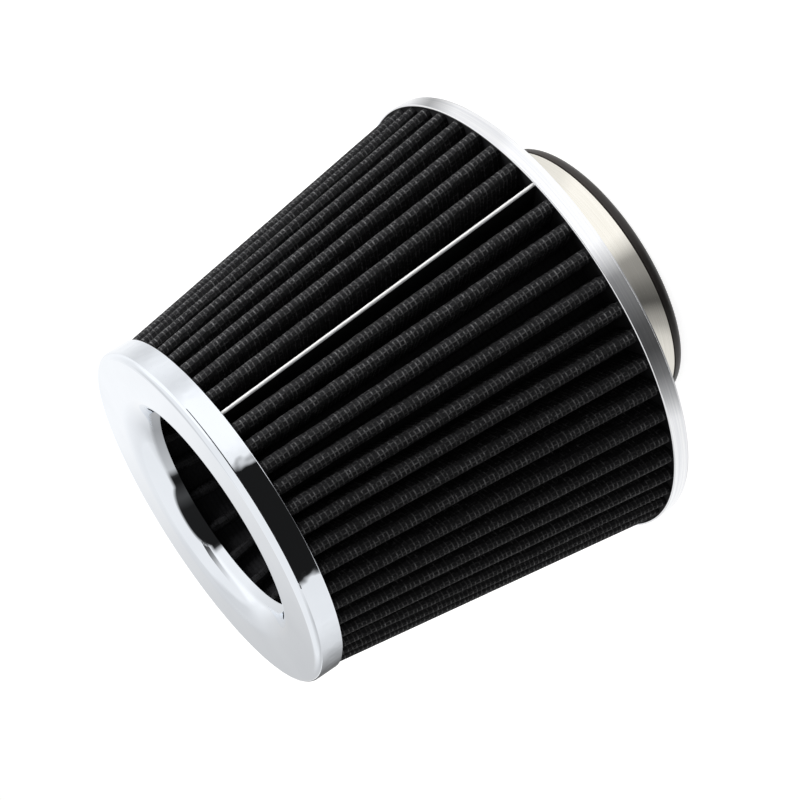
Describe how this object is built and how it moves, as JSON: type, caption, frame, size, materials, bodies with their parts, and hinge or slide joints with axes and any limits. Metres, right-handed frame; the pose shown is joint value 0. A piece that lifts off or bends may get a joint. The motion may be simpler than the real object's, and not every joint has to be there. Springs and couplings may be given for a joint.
{
  "type": "cone air filter",
  "caption": "Cone air filter with black pleated media, a chromed open front cap over an inverted inner cone, a polished base ring and a rubber-lined metal neck.",
  "frame": {"origin": "on the filter's axis, in the plane of the rubber lip's end face that it stands on", "axes": "+Z along the filter's axis from the neck to the front cap; the picture looks along +Y from above"},
  "size_m": [0.155, 0.155, 0.1524],
  "materials": {
    "chrome": "polished",
    "polished_ring": "polished",
    "neck_metal": "satin",
    "strip": "satin",
    "media": "woven",
    "potting": "matte",
    "rubber": "satin"
  },
  "bodies": {
    "root": {"front_cap": "chrome", "front_potting": "potting", "outer_media": "media", "seam_strip": "strip", "inner_media": "media", "inner_end_cup": "potting", "base_ring": "polished_ring", "base_potting": "potting", "neck": "neck_metal", "neck_sleeve": "rubber"}
  },
  "joints": []
}
